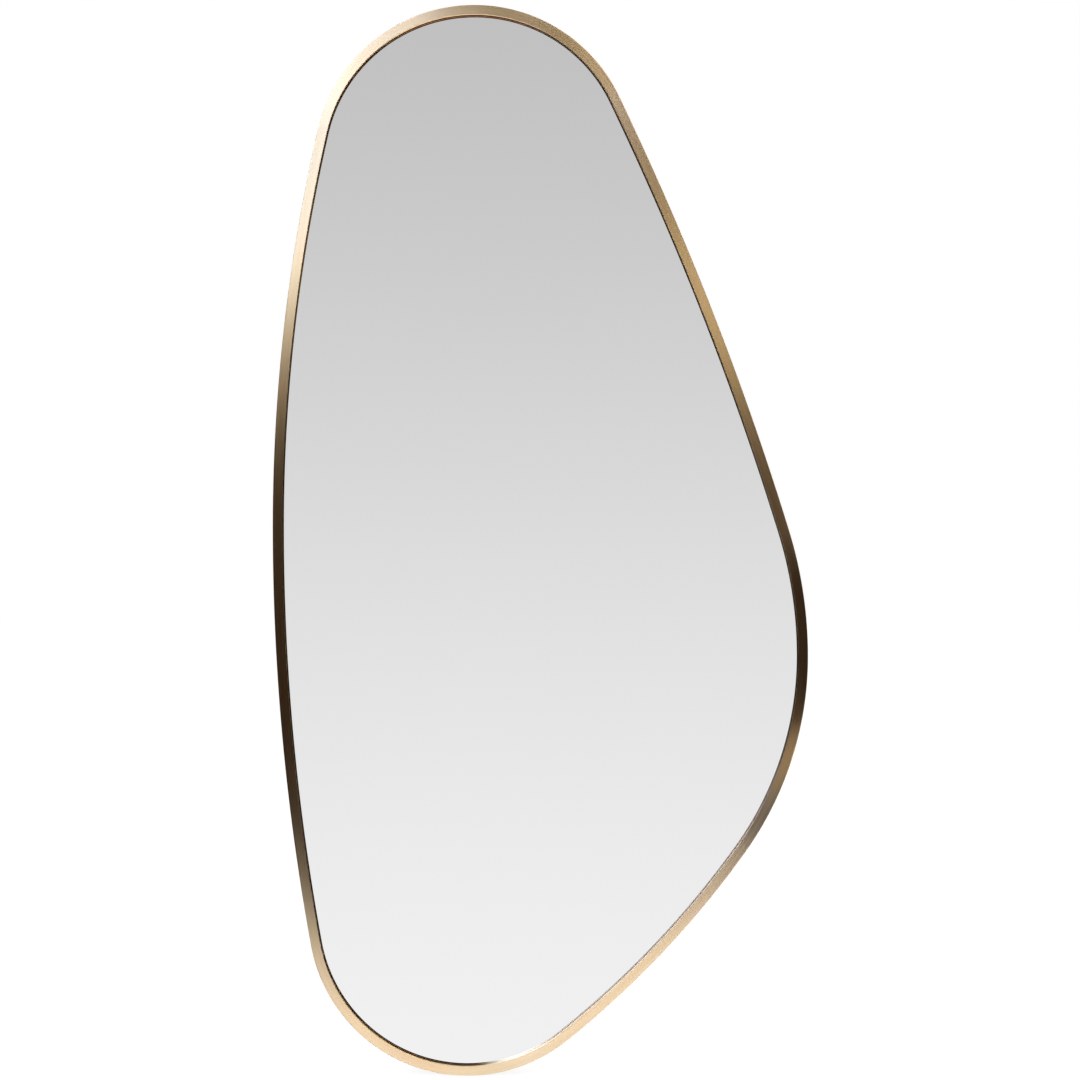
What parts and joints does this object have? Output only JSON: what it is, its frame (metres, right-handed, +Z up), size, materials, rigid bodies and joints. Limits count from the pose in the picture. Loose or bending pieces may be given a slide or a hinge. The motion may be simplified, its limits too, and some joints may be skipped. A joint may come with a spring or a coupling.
{
  "type": "irregular shaped mirror",
  "caption": "Tall pebble-shaped wall mirror in a slim brushed brass frame with a recessed glass, a clipped backing board and swinging D-ring hangers.",
  "frame": {"origin": "middle of the mirror's bounding box", "axes": "+Z up as hung, +X to the right as seen from the front, -Y out of the glass, +Y to the wall"},
  "size_m": [0.6, 0.026, 1.2],
  "materials": {
    "brushed_brass": "brushed along the frame, satin",
    "silvered_glass": "clear float glass silvered on the back, ground edge",
    "fibreboard": "bare medium density fibreboard",
    "foam_tape": "white closed-cell foam mounting tape",
    "packer_rubber": "matte dark rubber",
    "zinc_steel": "zinc plated sheet and wire",
    "screw_steel": "bright plated screws",
    "bumper_rubber": "matte black rubber"
  },
  "bodies": {
    "mirror": {"frame_profile": "brushed_brass", "mirror_glass": "silvered_glass", "backing_board": "fibreboard", "mounting_tape_1": "foam_tape", "mounting_tape_2": "foam_tape", "mounting_tape_3": "foam_tape", "mounting_tape_4": "foam_tape", "mounting_tape_5": "foam_tape", "glass_packer_1": "packer_rubber", "glass_packer_2": "packer_rubber", "glass_packer_3": "packer_rubber", "glass_packer_4": "packer_rubber", "glass_packer_5": "packer_rubber", "glass_packer_6": "packer_rubber", "retaining_clip_1": "zinc_steel", "clip_screw_1": "screw_steel", "retaining_clip_2": "zinc_steel", "clip_screw_2": "screw_steel", "retaining_clip_3": "zinc_steel", "clip_screw_3": "screw_steel", "retaining_clip_4": "zinc_steel", "clip_screw_4": "screw_steel", "retaining_clip_5": "zinc_steel", "clip_screw_5": "screw_steel", "retaining_clip_6": "zinc_steel", "clip_screw_6": "screw_steel", "retaining_clip_7": "zinc_steel", "clip_screw_7": "screw_steel", "retaining_clip_8": "zinc_steel", "clip_screw_8": "screw_steel", "retaining_clip_9": "zinc_steel", "clip_screw_9": "screw_steel", "retaining_clip_10": "zinc_steel", "clip_screw_10": "screw_steel", "left_hanger_strap": "zinc_steel", "left_hanger_screw_upper": "screw_steel", "left_hanger_screw_lower": "screw_steel", "right_hanger_strap": "zinc_steel", "right_hanger_screw_upper": "screw_steel", "right_hanger_screw_lower": "screw_steel", "wall_bumper_upper_left": "bumper_rubber", "bumper_screw_upper_left": "screw_steel", "wall_bumper_upper_right": "bumper_rubber", "bumper_screw_upper_right": "screw_steel", "wall_bumper_lower_left": "bumper_rubber", "bumper_screw_lower_left": "screw_steel", "wall_bumper_lower_right": "bumper_rubber", "bumper_screw_lower_right": "screw_steel"},
    "left_ring": {"left_d_ring": "zinc_steel"},
    "right_ring": {"right_d_ring": "zinc_steel"}
  },
  "joints": [
    {"name": "left_ring_swing", "type": "hinge", "parent": "mirror", "child": "left_ring", "pos_m": [-0.14064, 0.0082, 0.3], "axis": [1, 0, 0], "range_deg": [0, 180]},
    {"name": "right_ring_swing", "type": "hinge", "parent": "mirror", "child": "right_ring", "pos_m": [0.07936, 0.0082, 0.3], "axis": [1, 0, 0], "range_deg": [0, 180]}
  ]
}
